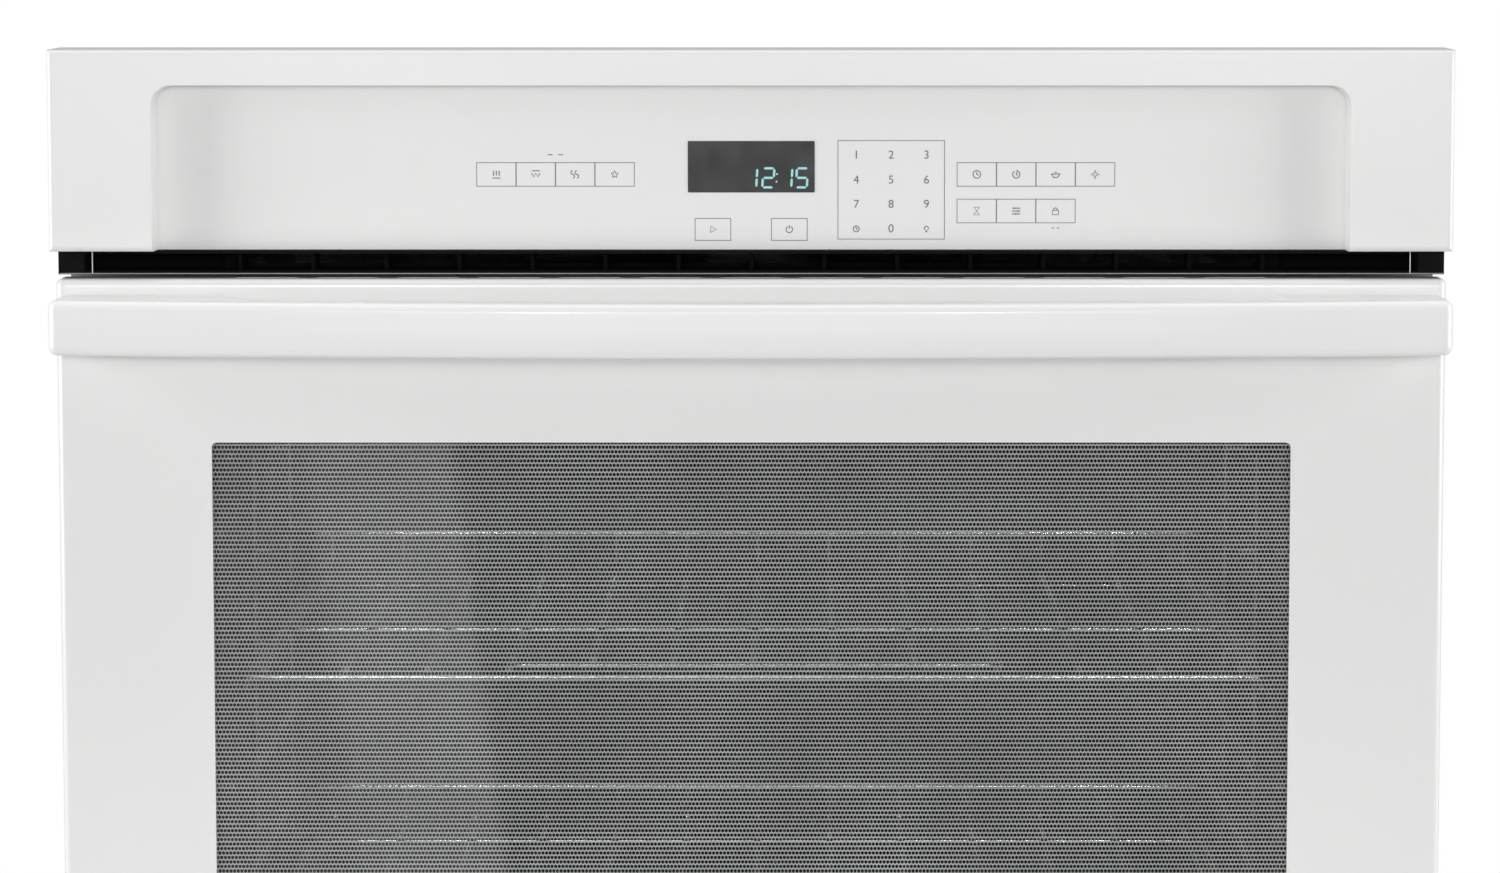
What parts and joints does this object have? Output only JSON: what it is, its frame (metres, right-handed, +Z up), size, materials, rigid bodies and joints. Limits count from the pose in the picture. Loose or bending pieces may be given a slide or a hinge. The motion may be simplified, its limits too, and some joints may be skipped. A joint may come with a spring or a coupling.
{
  "type": "built-in wall oven",
  "caption": "Built-in electric wall oven with a top control panel, a drop-down window door with a bowed handle, wire racks, heating elements and a cooling blower.",
  "frame": {"origin": "middle of the base, under the middle of the whole depth, handle included", "axes": "+Z up, the door and handle face -Y, +X to the right of a person facing the oven"},
  "size_m": [0.762, 0.6759, 0.73],
  "materials": {
    "door_white": "smooth gloss white enamel",
    "panel_white": "smooth satin white paint",
    "handle_white": "moulded satin white",
    "display_dark": "dark smoked window",
    "vent_black": "fine matt black",
    "trim_black": "satin black paint",
    "frame_grey": "satin grey enamel",
    "zinc_sheet": "galvanised sheet with spangle",
    "cavity_enamel": "dark speckled porcelain enamel",
    "liner_enamel": "dark speckled porcelain enamel",
    "chrome_wire": "bright chrome wire",
    "element_sheath": "oxidised dark metal sheath",
    "clear_glass": "clear float glass",
    "lamp_glass": "clear pressed glass",
    "screen_black": "black perforated sheet",
    "frame_alloy": "mill finish",
    "mineral_fibre": "matted glass fibre",
    "gasket_braid": "woven heat-proof braid",
    "hinge_steel": "zinc plated pressed steel",
    "spring_steel": "bright spring wire",
    "screw_steel": "plated screw heads",
    "board_green": "solder mask with parts",
    "motor_steel": "painted motor shell",
    "wheel_alloy": "pressed aluminium",
    "switch_plastic": "moulded nylon",
    "lamp_steel": "stamped cup",
    "terminal_black": "phenolic moulding"
  },
  "bodies": {
    "oven_body": {"air_duct": "zinc_sheet", "bake_element": "element_sheath", "blower_housing": "zinc_sheet", "blower_motor": "motor_steel", "bottom_trim": "trim_black", "broil_element": "element_sheath", "cavity_liner": "cavity_enamel", "chassis_back": "zinc_sheet", "chassis_base": "zinc_sheet", "chassis_screws": "screw_steel", "chassis_side_left": "zinc_sheet", "chassis_side_right": "zinc_sheet", "chassis_top": "zinc_sheet", "control_board": "board_green", "control_fascia": "panel_white", "display_window": "display_dark", "door_gasket": "gasket_braid", "element_brackets": "zinc_sheet", "front_frame": "frame_grey", "hinge_arms": "hinge_steel", "hinge_receivers": "hinge_steel", "insulation_blanket": "mineral_fibre", "insulation_cover": "zinc_sheet", "junction_box": "zinc_sheet", "junction_box_cover": "zinc_sheet", "lamp_bulb": "lamp_glass", "lamp_housing": "lamp_steel", "lamp_lens": "lamp_glass", "latch_bracket": "zinc_sheet", "latch_motor": "motor_steel", "light_switch_body": "switch_plastic", "panel_bracket": "zinc_sheet", "panel_screws": "screw_steel", "rack_guide_left": "chrome_wire", "rack_guide_right": "chrome_wire", "rear_wiring_cover": "zinc_sheet", "relay_board": "board_green", "temperature_probe": "screw_steel", "terminal_block": "terminal_black", "vent_trim": "vent_black"},
    "door": {"door_outer_panel": "door_white", "door_outer_glass": "clear_glass", "window_screen": "screen_black", "glass_frame": "frame_alloy", "door_middle_glass": "clear_glass", "door_inner_glass": "clear_glass", "door_liner": "liner_enamel", "door_insulation": "mineral_fibre", "door_screws": "screw_steel", "door_handle": "handle_white", "handle_screws": "screw_steel", "hinge_channels": "hinge_steel", "hinge_pins": "spring_steel", "hinge_spring_left": "spring_steel", "hinge_spring_right": "spring_steel"},
    "upper_rack": {"rack_upper": "chrome_wire"},
    "lower_rack": {"rack_lower": "chrome_wire"},
    "blower_rotor": {"blower_wheel": "wheel_alloy"},
    "latch": {"latch_hook": "hinge_steel"},
    "switch_plunger": {"light_switch_plunger": "switch_plastic"}
  },
  "joints": [
    {"name": "door_hinge", "type": "hinge", "parent": "oven_body", "child": "door", "pos_m": [0, -0.246, 0.04], "axis": [1, 0, 0], "range_deg": [0, 90], "stiffness_Nm_per_rad": 25, "springref_deg": -11.46, "deforming": ["hinge_spring_left", "hinge_spring_right"]},
    {"name": "upper_rack_slide", "type": "slide", "parent": "oven_body", "child": "upper_rack", "axis": [0, -1, 0], "range_m": [0, 0.06]},
    {"name": "lower_rack_slide", "type": "slide", "parent": "oven_body", "child": "lower_rack", "axis": [0, -1, 0], "range_m": [0, 0.06]},
    {"name": "blower_spin", "type": "hinge", "parent": "oven_body", "child": "blower_rotor", "pos_m": [0, 0.13, 0.6], "axis": [0, 0, 1], "continuous": true},
    {"name": "latch_swing", "type": "hinge", "parent": "oven_body", "child": "latch", "pos_m": [-0.02, -0.19, 0.568], "axis": [0, 0, 1], "range_deg": [0, 12]},
    {"name": "switch_plunge", "type": "slide", "parent": "oven_body", "child": "switch_plunger", "axis": [0, -1, 0], "range_m": [0, 0.005]}
  ],
  "couplings": [
    {"joint": "switch_plunge", "follows": "door_hinge", "m_per_rad": 0.00318}
  ]
}
